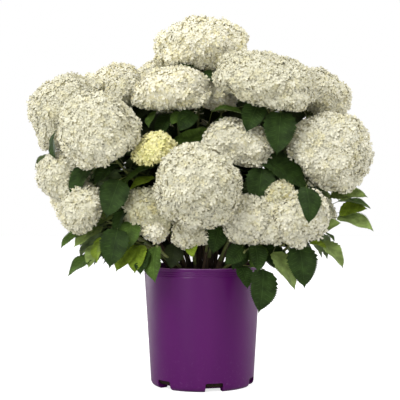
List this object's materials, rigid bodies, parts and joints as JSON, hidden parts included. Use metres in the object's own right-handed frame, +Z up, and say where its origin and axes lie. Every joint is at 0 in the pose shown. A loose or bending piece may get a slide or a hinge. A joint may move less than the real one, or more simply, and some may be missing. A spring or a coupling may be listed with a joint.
{
  "type": "potted mophead hydrangea shrub",
  "caption": "Mophead hydrangea shrub in a round nursery pot: canes fan out of the soil, with opposite leaves and large domed cream-white flower heads.",
  "frame": {"origin": "centre of the flat pad in the middle of the pot's underside, on the surface the pot stands on", "axes": "+Z up along the pot's axis, -Y towards the front, +X to the right seen from the front"},
  "size_m": [0.7804, 0.7173, 0.8498],
  "materials": {
    "pot": "satin",
    "soil": "matte",
    "cane": "matte",
    "leaf": "satin",
    "bloom_white": "matte",
    "bloom_ivory": "matte",
    "bloom_cream": "matte",
    "bloom_lime": "matte"
  },
  "bodies": {
    "root": {"pot": "pot", "soil": "soil", "cane_top": "cane", "bloom_top": "bloom_cream", "cane_upper_right": "cane", "bloom_upper_right": "bloom_white", "cane_far_right": "cane", "bloom_far_right": "bloom_white", "cane_right": "cane", "bloom_right": "bloom_white", "cane_far_left": "cane", "bloom_far_left": "bloom_ivory", "cane_left": "cane", "bloom_left": "bloom_white", "cane_back_left_upper": "cane", "bloom_back_left_upper": "bloom_cream", "cane_back_upper": "cane", "bloom_back_upper": "bloom_cream", "cane_upper_left": "cane", "bloom_upper_left": "bloom_cream", "cane_upper_middle": "cane", "bloom_upper_middle": "bloom_cream", "cane_middle_right": "cane", "bloom_middle_right": "bloom_ivory", "cane_middle_left": "cane", "bloom_middle_left": "bloom_lime", "bloom_front": "bloom_white", "bloom_left_low": "bloom_cream", "bloom_left_lowest": "bloom_ivory", "bloom_front_left_low": "bloom_ivory", "bloom_front_low": "bloom_ivory", "bloom_front_middle_low": "bloom_ivory", "bloom_front_right_low": "bloom_ivory", "bloom_right_low": "bloom_cream", "cane_rear_upper_right": "cane", "bloom_rear_upper_right": "bloom_cream", "cane_rear_left": "cane", "bloom_rear_left": "bloom_ivory", "cane_rear_middle": "cane", "bloom_rear_middle": "bloom_white", "cane_rear_right": "cane", "bloom_rear_right": "bloom_white", "bloom_rear_low_left": "bloom_white", "bloom_rear_low_right": "bloom_ivory", "bloom_side_low_right": "bloom_ivory", "bloom_side_low_left": "bloom_ivory", "leafy_left_front": "leaf", "leafy_left_side": "leaf", "leafy_right_front": "leaf", "leafy_right_corner": "leaf", "leafy_right_side": "leaf", "leafy_middle_front": "leaf", "leafy_rear_left": "leaf", "leafy_rear_middle": "leaf", "leafy_rear_right": "leaf", "leafy_inner_right": "leaf", "leafy_inner_middle": "leaf", "leafy_inner_left": "leaf", "leafy_inner_front": "leaf", "leafy_inner_rear": "leaf"}
  },
  "joints": []
}
